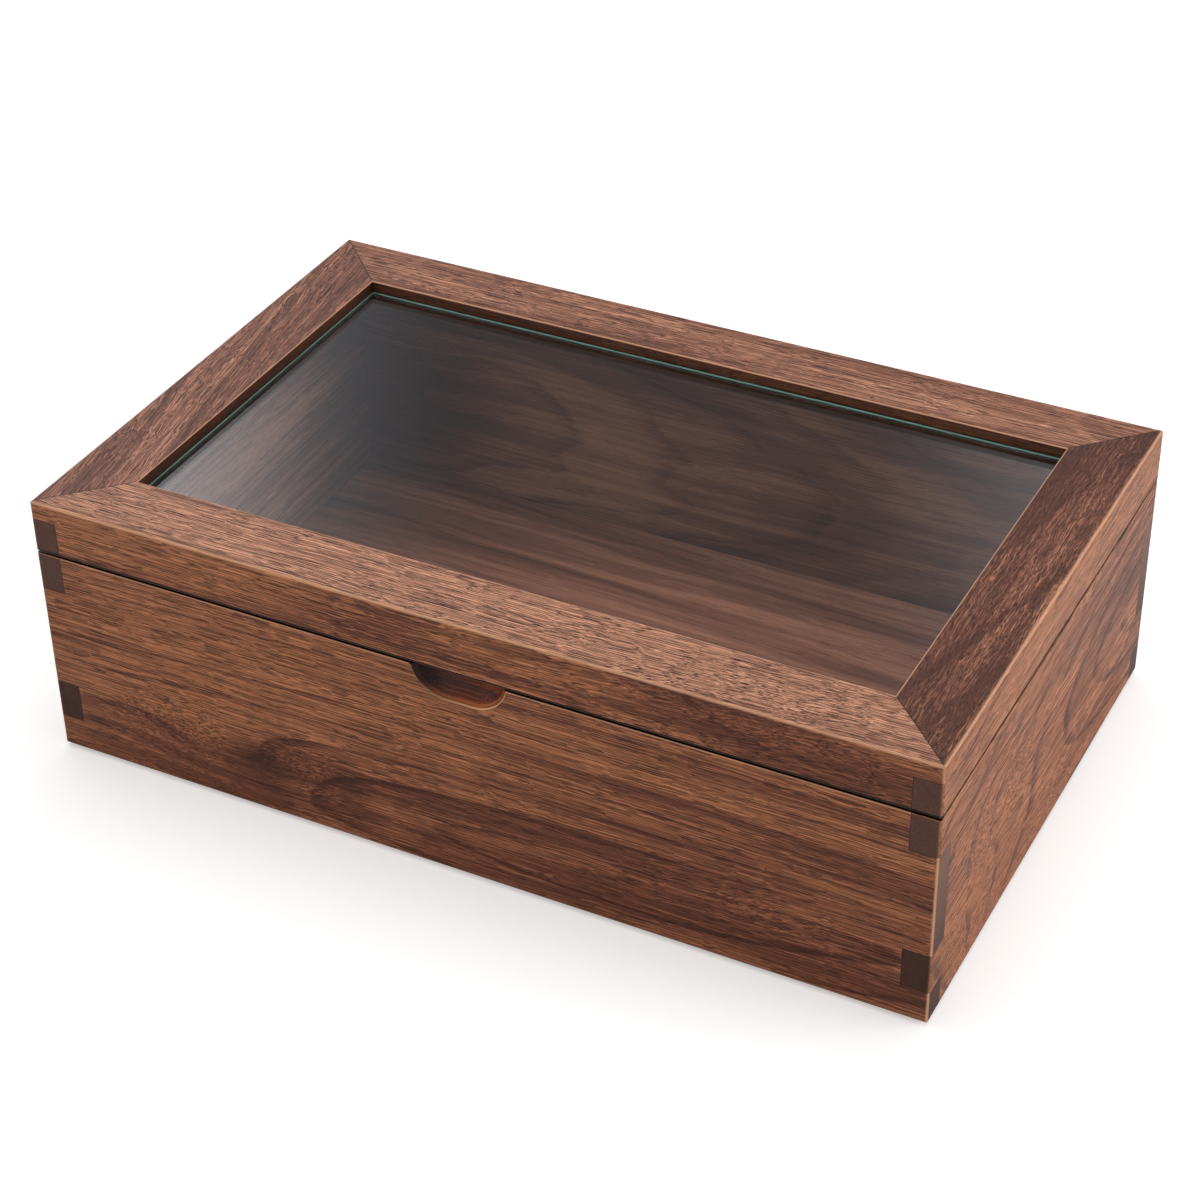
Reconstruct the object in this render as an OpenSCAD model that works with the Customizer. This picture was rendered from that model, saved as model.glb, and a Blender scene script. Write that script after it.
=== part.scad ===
// A walnut jewelry box with a glass lid, built board by board. Millimetres.
// The front faces -Y, the hinges are at +Y, and Z = 0 is the surface that the box stands on.

/* [Box] */
// Width of the box over its side boards
box_w = 300; // [220:5:400]
// Depth of the box over its front and back boards
box_d = 190; // [140:5:260]
// Height of the body's boards
body_h = 75.2; // [72:0.2:120]
// Thickness of the body boards and lid aprons
board_t = 9; // [8:0.5:12]
// Gap of the seam between the body and the closed lid
seam_gap = 0.8; // [0.4:0.1:1.2]

/* [Eased edges] */
// Radius of the upright outer corners
upright_edge_r = 1.3; // [0.4:0.1:2.5]
// Radius along the body's bottom edges
bottom_edge_r = 1.6; // [0.4:0.1:1.7]
// Radius along the lid's top edges
top_edge_r = 1.3; // [0.4:0.1:2.5]
// Radius along both edges of the seam
seam_edge_r = 0.5; // [0.2:0.1:1]
// Radius along the inner edge of the top frame
opening_edge_r = 0.5; // [0.2:0.1:1]

/* [Finger joints] */
// Height of the front board's bottom finger
bottom_finger_h = 12; // [8:1:14]
// Height of the side board's lower finger
side_finger_h = 14; // [10:1:16]
// Height of the front board's middle finger
middle_finger_h = 36; // [26:1:40]

/* [Thumb notch] */
// Width of the notch along the seam
notch_w = 31; // [26:1:60]
// Depth of the notch below the body's top edge
notch_depth = 9.3; // [6:0.1:11]
// How far the notch reaches into the board
notch_reach = 6.5; // [4:0.1:7]
// Corner radius of the notch, seen from the front
notch_corner_r = 11.5; // [11.5:0.1:14]
// Width of the eased rim round the notch
notch_rim = 0.5; // [0.2:0.1:1]

/* [Floor panel] */
// Thickness of the floor panel
floor_t = 5.5; // [5.5:0.5:10]
// Thickness of the tongue round the panel's edge
tongue_t = 3.5; // [3:0.5:5]
// Height of the panel's underside over the boards' bottom edges
floor_rise = 2.5; // [2:0.5:12]
// Depth of the grooves that hold the panel
groove_depth = 4; // [3:0.5:5]
// Room left for the panel at the bottom of each groove
floor_clear = 0.5; // [0.2:0.1:0.8]
// Gap between the panel's raised field and the boards
field_gap = 0.4; // [0.2:0.1:0.8]

/* [Lid] */
// Height of the lid aprons
apron_h = 12; // [9:0.5:30]
// Width of the top frame's rails
rail_w = 24; // [20:1:36]
// Thickness of the top frame's rails
rail_t = 6; // [5:0.5:10]

/* [Glass] */
// Thickness of the glass pane
glass_t = 2; // [2:0.5:4]
// Gap between the pane's edge and the rails
glass_clear = 0.5; // [0.3:0.1:0.8]
// Thickness of the glazing tape under the pane
tape_t = 0.3; // [0.2:0.1:0.6]
// Width of the glazing tape
tape_w = 1.2; // [1:0.1:1.3]
// Gap between the cut ends of the tape
tape_break = 0.2; // [0.1:0.1:0.6]
// Width of the glazing strips
strip_w = 10; // [8:0.5:12]
// Height of the glazing strips
strip_h = 3; // [3:0.5:6]
// How far the strips stand out under the pane past the rails
strip_lap = 2; // [2:0.1:5]

/* [Brads] */
// Diameter of the brads that hold the glazing strips
brad_d = 1.2; // [0.8:0.1:1.6]
// Length of the brads
brad_len = 7; // [6:0.5:7.5]
// Number of brads in the front strip and in the back strip
long_brads = 5; // [2:1:8]
// Number of brads in each side strip
short_brads = 3; // [2:1:5]
// Distance from the end brads to the ends of their strip
brad_end = 12; // [6:1:30]

/* [Hinges] */
// Length of each hinge
hinge_len = 36; // [30:1:50]
// Distance from each hinge's middle to the nearer end of the box
hinge_inset = 55; // [40:1:80]
// Width of each leaf, from the back face into the board
leaf_w = 7.4; // [6:0.1:7.6]
// Thickness of each leaf
leaf_t = 1.6; // [1.3:0.1:1.8]
// Diameter of the barrel
barrel_d = 4.8; // [4.6:0.1:6]
// Gap between the barrel and the back face of the box
barrel_gap = 0.3; // [0.2:0.1:1]
// Diameter of the hinge pin
hinge_pin_d = 2.2; // [1.6:0.1:2.6]
// Radial clearance of the pin in the lid leaf's knuckles
pin_clear = 0.05; // [0.02:0.01:0.08]
// Clearance between neighbouring knuckles
knuckle_gap = 0.15; // [0.1:0.05:0.3]
// How far the pin's ends stand out of the barrel
pin_end = 0.5; // [0.3:0.1:1]
// How far the stop heels stand out past the barrel
heel_t = 1.2; // [0.8:0.1:2]
// Angle at which the heels stop the lid
stop_angle = 95; // [90:1:105]
// Angle that is left between the heels when the lid stops
stop_relief_angle = 0.5; // [0.2:0.1:1]

/* [Hinge screws] */
// Diameter of the screw heads
screw_head_d = 4.2; // [3.6:0.1:4.6]
// Diameter of the screw shanks
screw_d = 2.2; // [1.8:0.1:2.6]
// Length of the screws
screw_len = 8; // [6:0.5:8.5]
// Distance from the end screws to the ends of the leaf
screw_end = 6; // [4:0.5:9]
// Number of screws in each leaf
screws = 3; // [2:1:4]

/* [Pads and bumpers] */
// Diameter of the felt foot pads
pad_d = 9; // [7:0.5:9.2]
// Thickness of the felt foot pads
pad_t = 1; // [0.6:0.1:2]
// Distance from the pads' middle to the faces of the box
pad_inset = 6.3; // [6.3:0.1:8]
// Diameter of the lid bumpers
bumper_d = 5; // [4:0.5:6]
// Distance from the bumpers' middle to the ends of the box
bumper_inset = 20; // [14:1:40]

/* [Hidden] */
$fn = 64;
// Extra length that carries a cut past the face that it leaves
over = 1;
// Centre of the hinge axis, from the back face and from the body's bottom edge
barrel_r = barrel_d / 2;
axis_y = box_d / 2 + barrel_gap + barrel_r;
axis_z = body_h + seam_gap / 2;
// Half of the angle between the two heels, and how far they reach
heel_half = (stop_angle + stop_relief_angle) / 2;
heel_r = barrel_r + heel_t;
heel_tip = heel_r / tan(heel_half);
// How far the hinges stand out behind the box
hinge_proud = barrel_gap + barrel_r + max(barrel_r, heel_tip);
// Heights over the body's bottom edge
side_finger_z = bottom_finger_h;
middle_finger_z = side_finger_z + side_finger_h;
top_finger_z = middle_finger_z + middle_finger_h;
lid_z = body_h + seam_gap;
rail_z = lid_z + apron_h;
lid_h = apron_h + rail_t;
strip_z = rail_z - strip_h;
glass_z = rail_z + tape_t;
// The opening in the top frame and the pane that fits it
opening_w = box_w - 2 * rail_w;
opening_d = box_d - 2 * rail_w;
pane_w = opening_w - 2 * glass_clear;
pane_d = opening_d - 2 * glass_clear;
// The glazing strips' outer outline and how far the rails cover them
strip_cover = strip_w - strip_lap;
strips_w = opening_w + 2 * strip_cover;
strips_d = opening_d + 2 * strip_cover;
// The notch's middle height, the travel of its cutter and the bowl's radius
notch_z = body_h + notch_corner_r - notch_depth;
notch_half_chord = sqrt(pow(notch_corner_r, 2) - pow(notch_corner_r - notch_depth, 2));
notch_travel = notch_w - 2 * notch_half_chord;
bowl_r = (pow(notch_corner_r, 2) + pow(notch_reach, 2)) / (2 * notch_reach);
// Five knuckles, the first, third and last on the body's leaf
knuckles = 5;
knuckle_len = (hinge_len - (knuckles - 1) * knuckle_gap) / knuckles;
body_knuckles = [0, 2, 4];
lid_knuckles = [1, 3];
screw_cone_h = (screw_head_d - screw_d) / 2;
screw_tip_h = 1.6;
screw_tip_d = 0.5;
screw_slot_w = 0.6;
screw_slot_depth = 0.5;
// Colours
walnut = [0.42, 0.27, 0.20];
walnut_light = [0.50, 0.34, 0.26];
walnut_dark = [0.34, 0.21, 0.15];
brass = [0.78, 0.62, 0.32];
felt = [0.12, 0.10, 0.09];

// The box is drawn round its own middle, from the boards' bottom edge up, and set on its pads here
module on_pads() {
    translate([0, -hinge_proud / 2, pad_t]) children();
}

// A box that is centred in X and Y and starts at a height
module slab(w, d, z0, z1) {
    translate([-w / 2, -d / 2, z0]) cube([w, d, z1 - z0]);
}

// An upright profile whose two lower and two upper corners are rounded
module profile(w, h, r_low, r_high) {
    translate([r_low - w / 2, 0]) square([w - 2 * r_low, h / 2]);
    translate([-w / 2, r_low]) square([w, h - r_low - r_high]);
    translate([r_high - w / 2, h / 2]) square([w - 2 * r_high, h / 2]);
    for (side = [-1, 1]) {
        translate([side * (w / 2 - r_low), r_low]) circle(r_low);
        translate([side * (w / 2 - r_high), h - r_high]) circle(r_high);
    }
}

// The outer form of the body or the lid, with every outer edge eased
module outer_form(h, r_low, r_high) {
    intersection() {
        translate([0, -box_d / 2, 0])
            linear_extrude(h) profile(box_w, box_d, upright_edge_r, upright_edge_r);
        rotate([90, 0, 0])
            linear_extrude(box_d + 2 * over, center = true) profile(box_w, h, r_low, r_high);
        rotate([90, 0, 90])
            linear_extrude(box_w + 2 * over, center = true) profile(box_d, h, r_low, r_high);
    }
}

module body_form() {
    outer_form(body_h, bottom_edge_r, seam_edge_r);
}

module lid_form() {
    translate([0, 0, lid_z]) outer_form(lid_h, seam_edge_r, top_edge_r);
}

// What the side boards take out of the ends of the front and back boards
module side_fingers() {
    for (side = [-1, 1], z = [[side_finger_z, middle_finger_z], [top_finger_z, body_h + over]])
        translate([side * box_w / 2, 0, 0]) slab(2 * board_t, box_d + 2 * over, z[0], z[1]);
}

// What the front and back boards take out of the ends of the side boards
module front_fingers() {
    for (side = [-1, 1], z = [[-over, side_finger_z], [middle_finger_z, top_finger_z]])
        translate([0, side * box_d / 2, 0]) slab(box_w + 2 * over, 2 * board_t, z[0], z[1]);
}

// The grooves, stopped short of the outer faces
module floor_groove() {
    inset = 2 * (board_t - groove_depth);
    slab(box_w - inset, box_d - inset, floor_rise, floor_rise + tongue_t);
}

// A bowl with a straight middle, as a round-nosed cutter leaves it, and its eased rim
module notch_cut() {
    translate([0, -box_d / 2, notch_z]) {
        for (side = [-1, 1])
            translate([side * notch_travel / 2, 0, 0]) {
                intersection() {
                    translate([0, notch_reach - bowl_r, 0]) sphere(bowl_r, $fn = 128);
                    rotate([-90, 0, 0]) cylinder(notch_reach + over, r = notch_corner_r + notch_rim);
                }
                rotate([-90, 0, 0])
                    cylinder(notch_rim, notch_corner_r + notch_rim, notch_corner_r);
            }
        rotate([0, 90, 0]) linear_extrude(notch_travel, center = true) notch_section();
    }
}

// Half of the bowl's cross-section and of its rim, as seen along the box
module notch_section() {
    intersection() {
        translate([0, notch_reach - bowl_r]) circle(bowl_r, $fn = 128);
        translate([-notch_corner_r, 0]) square([2 * notch_corner_r, notch_reach + over]);
    }
    polygon([
        [-notch_corner_r - notch_rim, 0], [notch_corner_r + notch_rim, 0],
        [notch_corner_r, notch_rim], [-notch_corner_r, notch_rim]
    ]);
}

// A front or back board, centred at y, with its fingers and groove
module long_board(side) {
    difference() {
        intersection() {
            body_form();
            translate([0, side * (box_d - board_t) / 2, 0]) slab(box_w, board_t, 0, body_h);
        }
        side_fingers();
        floor_groove();
    }
}

// A side board with its fingers and groove
module side_board(side) {
    difference() {
        intersection() {
            body_form();
            translate([side * (box_w - board_t) / 2, 0, 0]) slab(board_t, box_d, 0, body_h);
        }
        front_fingers();
        floor_groove();
    }
}

module front_panel() {
    color(walnut) on_pads() difference() {
        long_board(-1);
        notch_cut();
    }
}

module back_panel() {
    color(walnut) on_pads() difference() {
        long_board(1);
        at_hinges() hinge_mortise();
    }
}

module left_panel() {
    color(walnut_light) on_pads() side_board(-1);
}

module right_panel() {
    color(walnut_light) on_pads() side_board(1);
}

// The floor panel's tongue lies in the grooves, and its field rises between the boards
module base_panel() {
    tongue = 2 * (board_t - groove_depth + floor_clear);
    field = 2 * (board_t + field_gap);
    color(walnut) on_pads() {
        slab(box_w - tongue, box_d - tongue, floor_rise, floor_rise + tongue_t);
        slab(box_w - field, box_d - field, floor_rise, floor_rise + floor_t);
    }
}

module foot_pad(side_x, side_y) {
    color(felt) on_pads()
        translate([side_x * (box_w / 2 - pad_inset), side_y * (box_d / 2 - pad_inset), -pad_t])
            cylinder(pad_t, d = pad_d);
}

module lid_bumper(side) {
    color(felt) on_pads()
        translate([side * (box_w / 2 - bumper_inset), (board_t - box_d) / 2, body_h])
            cylinder(seam_gap, d = bumper_d);
}

// The front and back aprons fit between the side aprons
module long_apron(side) {
    intersection() {
        lid_form();
        translate([0, side * (box_d - board_t) / 2, 0])
            slab(box_w - 2 * board_t, board_t, lid_z, rail_z);
    }
}

module side_apron(side) {
    intersection() {
        lid_form();
        translate([side * (box_w - board_t) / 2, 0, 0]) slab(board_t, box_d, lid_z, rail_z);
    }
}

module lid_front_apron() {
    color(walnut) on_pads() long_apron(-1);
}

module lid_back_apron() {
    color(walnut) on_pads() difference() {
        long_apron(1);
        at_hinges() mirror([0, 0, 1]) hinge_mortise();
    }
}

module lid_left_apron() {
    color(walnut_light) on_pads() side_apron(-1);
}

module lid_right_apron() {
    color(walnut_light) on_pads() side_apron(1);
}

// A mitred length of the given width along the front edge of a w by d outline
module mitred(w, d, width, z0, z1) {
    translate([0, 0, z0]) linear_extrude(z1 - z0) polygon([
        [-w / 2, -d / 2], [w / 2, -d / 2],
        [w / 2 - width, width - d / 2], [width - w / 2, width - d / 2]
    ]);
}

// Rounds the top edge of the opening
module opening_edge() {
    z = lid_z + lid_h - opening_edge_r;
    w = opening_w + 2 * opening_edge_r;
    d = opening_d + 2 * opening_edge_r;
    difference() {
        slab(w, d, z, lid_z + lid_h + over);
        for (side = [-1, 1]) {
            translate([0, side * d / 2, z])
                rotate([0, 90, 0]) cylinder(box_w, r = opening_edge_r, center = true);
            translate([side * w / 2, 0, z])
                rotate([90, 0, 0]) cylinder(box_d, r = opening_edge_r, center = true);
        }
    }
}

module rail_finish() {
    intersection() {
        lid_form();
        difference() {
            children();
            opening_edge();
            brads(over = over);
        }
    }
}

module frame_front_rail() {
    color(walnut_light) on_pads() rail_finish()
        mitred(box_w, box_d, rail_w, rail_z, rail_z + rail_t);
}

module frame_back_rail() {
    color(walnut_light) on_pads() rail_finish()
        rotate(180) mitred(box_w, box_d, rail_w, rail_z, rail_z + rail_t);
}

module frame_left_rail() {
    color(walnut_dark) on_pads() rail_finish()
        rotate(-90) mitred(box_d, box_w, rail_w, rail_z, rail_z + rail_t);
}

module frame_right_rail() {
    color(walnut_dark) on_pads() rail_finish()
        rotate(90) mitred(box_d, box_w, rail_w, rail_z, rail_z + rail_t);
}

module strip_finish() {
    difference() {
        children();
        brads(over = over);
    }
}

module glazing_strip_front() {
    color(walnut_dark) on_pads() strip_finish()
        mitred(strips_w, strips_d, strip_w, strip_z, rail_z);
}

module glazing_strip_back() {
    color(walnut_dark) on_pads() strip_finish()
        rotate(180) mitred(strips_w, strips_d, strip_w, strip_z, rail_z);
}

module glazing_strip_left() {
    color(walnut_dark) on_pads() strip_finish()
        rotate(-90) mitred(strips_d, strips_w, strip_w, strip_z, rail_z);
}

module glazing_strip_right() {
    color(walnut_dark) on_pads() strip_finish()
        rotate(90) mitred(strips_d, strips_w, strip_w, strip_z, rail_z);
}

// A row of brads along the front strip of a w by d outline, through its covered part
module brad_row(w, d, count, over) {
    step = (w - 2 * brad_end) / (count - 1);
    for (i = [0 : count - 1])
        translate([brad_end - w / 2 + i * step, (strip_cover - d) / 2, strip_z - over])
            cylinder(brad_len + over, d = brad_d, $fn = 24);
}

module brads(over) {
    for (turn = [0, 180]) rotate(turn) brad_row(strips_w, strips_d, long_brads, over);
    for (turn = [90, -90]) rotate(turn) brad_row(strips_d, strips_w, short_brads, over);
}

module strip_brads() {
    color(brass) on_pads() brads(over = 0);
}

// Four lengths of tape round the pane's edge, the short ones cut to fit between the long ones
module glazing_tape() {
    color("black") on_pads() for (side = [-1, 1]) {
        translate([0, side * (pane_d - tape_w) / 2, 0]) slab(pane_w, tape_w, rail_z, glass_z);
        translate([side * (pane_w - tape_w) / 2, 0, 0])
            slab(tape_w, pane_d - 2 * (tape_w + tape_break), rail_z, glass_z);
    }
}

module glass_pane() {
    color([0.80, 0.93, 0.88, 0.35]) on_pads() slab(pane_w, pane_d, glass_z, glass_z + glass_t);
}

// Repeats what is drawn round a hinge's axis at each hinge
module at_hinge(side) {
    translate([side * (box_w / 2 - hinge_inset), axis_y, axis_z]) children();
}

module at_hinges() {
    for (side = [-1, 1]) at_hinge(side) children();
}

// The hinge is drawn round its axis. The body's leaf is below it, and the lid's leaf is its mirror
module at_screws() {
    step = (hinge_len - 2 * screw_end) / (screws - 1);
    y = -barrel_r - barrel_gap - leaf_w / 2;
    for (i = [0 : screws - 1])
        translate([screw_end - hinge_len / 2 + i * step, y, -seam_gap / 2]) children();
}

module along_hinge(length) {
    rotate([90, 0, 90]) linear_extrude(length, center = true) children();
}

// The pocket for a leaf and the holes for its screws
module hinge_mortise() {
    back = -barrel_r - barrel_gap;
    translate([-hinge_len / 2, back - leaf_w, -seam_gap / 2 - leaf_t])
        cube([hinge_len, leaf_w + over, leaf_t + seam_gap]);
    at_screws() translate([0, 0, -screw_len]) cylinder(screw_len, d = screw_d, $fn = 32);
}

module knuckle_zone(i) {
    x = -hinge_len / 2 + i * (knuckle_len + knuckle_gap);
    translate([x + knuckle_len / 2, 0, 0]) children();
}

// Square heel behind and below the barrel, cut off at the line where it meets the other heel
module heel_section() {
    polygon([[0, 0], [heel_tip, -heel_r], [-barrel_r, -heel_r], [-barrel_r, 0]]);
}

module leaf(own, other, bore_r) {
    back = -barrel_r - barrel_gap;
    difference() {
        union() {
            translate([-hinge_len / 2, back - leaf_w, -seam_gap / 2 - leaf_t])
                cube([hinge_len, leaf_w, leaf_t]);
            difference() {
                along_hinge(hinge_len) heel_section();
                for (i = other) knuckle_zone(i)
                    along_hinge(knuckle_len + 2 * knuckle_gap) circle(barrel_r + knuckle_gap);
            }
            for (i = own) knuckle_zone(i) along_hinge(knuckle_len) {
                circle(barrel_r);
                translate([back, -seam_gap / 2 - leaf_t]) square([-back, leaf_t]);
            }
        }
        along_hinge(hinge_len + 2 * over) circle(bore_r);
        at_screws() screw_form(over = over);
    }
}

// A countersunk screw, or with extra height over its head the hole that it fits
module screw_form(over) {
    translate([0, 0, -screw_cone_h]) cylinder(screw_cone_h, d1 = screw_d, d2 = screw_head_d);
    translate([0, 0, screw_tip_h - screw_len])
        cylinder(screw_len - screw_tip_h, d = screw_d, $fn = 32);
    if (over > 0) cylinder(over, d = screw_head_d);
}

module screw() {
    difference() {
        screw_form(over = 0);
        translate([-screw_head_d / 2, -screw_slot_w / 2, -screw_slot_depth])
            cube([screw_head_d, screw_slot_w, screw_slot_depth + over]);
    }
    translate([0, 0, -screw_len]) cylinder(screw_tip_h, d1 = screw_tip_d, d2 = screw_d);
}

module body_leaf(side) {
    color(brass) on_pads() at_hinge(side) leaf(body_knuckles, lid_knuckles, hinge_pin_d / 2);
}

module lid_leaf(side) {
    color(brass) on_pads() at_hinge(side) mirror([0, 0, 1])
        leaf(lid_knuckles, body_knuckles, hinge_pin_d / 2 + pin_clear);
}

module hinge_pin(side) {
    tip = pin_end / 2;
    length = hinge_len + 2 * pin_end;
    color(brass) on_pads() at_hinge(side) rotate([0, 90, 0]) {
        cylinder(length - 2 * tip, d = hinge_pin_d, center = true);
        for (turn = [0, 180]) rotate([turn, 0, 0])
            translate([0, 0, length / 2 - tip])
                cylinder(tip, d1 = hinge_pin_d, d2 = hinge_pin_d - 2 * tip);
    }
}

module body_screws(side) {
    color(brass) on_pads() at_hinge(side) at_screws() screw();
}

module lid_screws(side) {
    color(brass) on_pads() at_hinge(side) mirror([0, 0, 1]) at_screws() screw();
}

front_panel();
back_panel();
left_panel();
right_panel();
base_panel();
foot_pad(-1, -1);  // foot_pad_front_left
foot_pad(1, -1);  // foot_pad_front_right
foot_pad(-1, 1);  // foot_pad_back_left
foot_pad(1, 1);  // foot_pad_back_right
lid_bumper(-1);  // lid_bumper_left
lid_bumper(1);  // lid_bumper_right
lid_front_apron();
lid_back_apron();
lid_left_apron();
lid_right_apron();
frame_front_rail();
frame_back_rail();
frame_left_rail();
frame_right_rail();
glazing_strip_front();
glazing_strip_back();
glazing_strip_left();
glazing_strip_right();
strip_brads();
glazing_tape();
glass_pane();
body_leaf(-1);  // hinge_left_body_leaf
lid_leaf(-1);  // hinge_left_lid_leaf
hinge_pin(-1);  // hinge_left_pin
body_screws(-1);  // hinge_left_body_screws
lid_screws(-1);  // hinge_left_lid_screws
body_leaf(1);  // hinge_right_body_leaf
lid_leaf(1);  // hinge_right_lid_leaf
hinge_pin(1);  // hinge_right_pin
body_screws(1);  // hinge_right_body_screws
lid_screws(1);  // hinge_right_lid_screws
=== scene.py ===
import functools
import math

import bpy
from mathutils import Matrix, Vector


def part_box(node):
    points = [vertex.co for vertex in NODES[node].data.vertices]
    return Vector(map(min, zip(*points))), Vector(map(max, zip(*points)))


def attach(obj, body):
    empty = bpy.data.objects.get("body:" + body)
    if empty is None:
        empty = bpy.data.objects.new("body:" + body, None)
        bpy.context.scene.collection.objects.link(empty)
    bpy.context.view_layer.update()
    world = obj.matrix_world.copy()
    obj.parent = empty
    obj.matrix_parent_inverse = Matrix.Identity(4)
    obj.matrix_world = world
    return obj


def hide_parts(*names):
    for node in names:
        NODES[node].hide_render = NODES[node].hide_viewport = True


# A walnut jewelry box with a glass lid, dressed. Metres, +X along the front, +Y from the front to the
# hinges, +Z up. The patterns work in real millimetres.
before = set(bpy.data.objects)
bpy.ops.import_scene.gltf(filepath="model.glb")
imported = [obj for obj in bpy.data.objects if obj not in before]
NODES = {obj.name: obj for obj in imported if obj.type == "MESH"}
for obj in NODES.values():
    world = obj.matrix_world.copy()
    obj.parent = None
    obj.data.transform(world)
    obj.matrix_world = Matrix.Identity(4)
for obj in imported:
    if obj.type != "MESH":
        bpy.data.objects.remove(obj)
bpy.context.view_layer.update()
bpy.ops.object.select_all(action="DESELECT")

# Camera, fitted to the photo's edges
CAMERA_AT = (0.3395, -0.6613, 0.5646)
CAMERA_LENS = 84.47
CAMERA_DOWN = math.radians(35.12)
CAMERA_TURN = math.radians(27.44)
CAMERA_ROLL = math.radians(-0.97)

# Places that the patterns need, from the frame
LID_LOW, LID_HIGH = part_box("lid_left_apron")
BODY_LOW, BODY_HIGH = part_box("left_panel")
RAIL_LOW, RAIL_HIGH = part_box("frame_right_rail")
HALF_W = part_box("front_panel")[1].x
HALF_D = (BODY_HIGH.y - BODY_LOW.y) / 2
MIDDLE_Y = (BODY_HIGH.y + BODY_LOW.y) / 2
BOARD_T = LID_HIGH.x - LID_LOW.x
RAIL_W = RAIL_HIGH.x - RAIL_LOW.x
# Heights at which the finger joints change from one board to the other
FINGER_HEIGHTS = (0.013, 0.027, 0.063)
# How far in from the outer faces a board's inner side begins
INSIDE = 0.004
# A distance that sets a flat face clearly on one side of a limit
SLACK = 0.00005
# The notch's half width and lowest height, with room for its rim, and how far in its rim, with its painted
# highlight and shade, turns into the scoop's painted shade
NOTCH_HALF, NOTCH_LOW = 0.0165, 0.0662
RIM_START, RIM_END = 0.00025, 0.0005
# Places across and up the notch where its painted shade is darkest and where it is lightest
NOTCH_DARK_X, NOTCH_PALE_X = -0.011, 0.008
NOTCH_DARK_Z, NOTCH_PALE_Z = 0.071, 0.067
# Heights between which the end grain darkens towards the foot
FOOT_DARK_HIGH, FOOT_DARK_LOW = 0.07, 0.025
# Half the width of the glue lines in the corner joints and, along a board, in the mitres
JOINT_GLUE, MITRE_GLUE = 0.0002, 0.00035
# The thin gap between the body and the lid: its middle, half its height with its flat faces, half of how far
# the painted shade goes up the lid's rounded edge, and how far in the painted shade starts and stops to fade
GAP_Z = (BODY_HIGH.z + LID_LOW.z) / 2
GAP_HALF = (LID_LOW.z - BODY_HIGH.z) / 2 + SLACK
GAP_EDGE = 0.0004
MOUTH_START, MOUTH_END = 0.0008, 0.0018
# Widths of the worn outer arrises, which also carry a painted highlight, and of the painted highlight along
# the rails' inner edges
ARRIS_W, GLINT_W = 0.0012, 0.0005
# The last of a rail's width, over which the painted shade of its inner face begins
INNER_SHADE_START, INNER_SHADE_END = RAIL_W - 0.0006, RAIL_W - 0.0004

# Numbers of the sockets of nodes that mix two colours or turn one range of values into another
FACTOR, A, B = 0, 6, 7
FROM_LOW, FROM_HIGH, TO_LOW, TO_HIGH = 1, 2, 3, 4
# Settings of a node that mixes colours, and of one that eases in and out of its range
COLOURS = {"data_type": "RGBA", "out": 2}
EASED = {"interpolation_type": "SMOOTHSTEP"}


def make_camera():
    camera = bpy.data.objects.new("camera", bpy.data.cameras.new("camera"))
    bpy.context.scene.collection.objects.link(camera)
    camera.data.sensor_width = 36
    camera.data.lens = CAMERA_LENS
    turn = Matrix.Rotation(CAMERA_TURN, 4, "Z") @ Matrix.Rotation(math.pi / 2 - CAMERA_DOWN, 4, "X")
    camera.matrix_world = (
        Matrix.Translation(CAMERA_AT) @ turn @ Matrix.Rotation(CAMERA_ROLL, 4, "Z")
    )
    bpy.context.scene.camera = camera


def rgb(code):
    """Linear colour of an sRGB hex code."""
    parts = [int(code[i:i + 2], 16) / 255 for i in (1, 3, 5)]
    return [c / 12.92 if c <= 0.04045 else ((c + 0.055) / 1.055) ** 2.4 for c in parts] + [1]


def add(tree, kind, sockets=None, out=0, **settings):
    """Adds a node with its settings and its sockets' values or links, and returns one of its outputs."""
    node = tree.nodes.new("ShaderNode" + kind)
    for name, value in settings.items():
        setattr(node, name, value)
    for key, value in (sockets or {}).items():
        if isinstance(value, bpy.types.NodeSocket):
            tree.links.new(value, node.inputs[key])
        else:
            node.inputs[key].default_value = value
    return node.outputs[out] if node.outputs else None


def new_material(name):
    """An empty material, with a short name for adding nodes to it."""
    material = bpy.data.materials.new(name)
    material.use_nodes = True
    material.node_tree.nodes.clear()
    return material, functools.partial(add, material.node_tree)


def dress(material, *names):
    for name in names:
        mesh = NODES[name].data
        mesh.materials.clear()
        mesh.materials.append(material)


# American black walnut, planed, sanded and oiled: a warm mid brown ground with thin dark pores that run
# along the grain, hazy dark bands and rings, and a low satin sheen. The lid's faces that look up take a
# paler, pinker copy of the wood, partly its own tone and partly painted light from above.
LIGHT, MID, DARK = rgb("#cf855b"), rgb("#90553b"), rgb("#4c2719")
TOP_LIGHT, TOP_MID, TOP_DARK = rgb("#dfa080"), rgb("#a26b52"), rgb("#573225")
# Dark of the open pores, also used for the painted shade on the rails' inner faces, and the end grain's
# browns
PORE_AND_SHADE, END, SIDE_END = rgb("#341c12"), rgb("#583b30"), rgb("#7b5546")
# Light of the worn arrises and their painted highlight, and the dark of glue lines and of the painted shade
# in the gap
WORN_AND_HIGHLIGHT, GLUE_AND_GAP_SHADE = rgb("#e2ab86"), rgb("#100805")
# How far in the noise two patterns lie apart, so that they look unrelated
APART = (37, 11, 5)


def along(n, where, length, width, detail=2.0, out="Fac"):
    """Noise whose features are that long along the grain and that wide across it, in millimetres."""
    squeezed = n("VectorMath", {0: where, 1: (1 / length, 1 / width, 1 / width)}, operation="MULTIPLY")
    return n("TexNoise", {"Vector": squeezed, "Scale": 1.0, "Detail": detail}, out=out)


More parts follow.
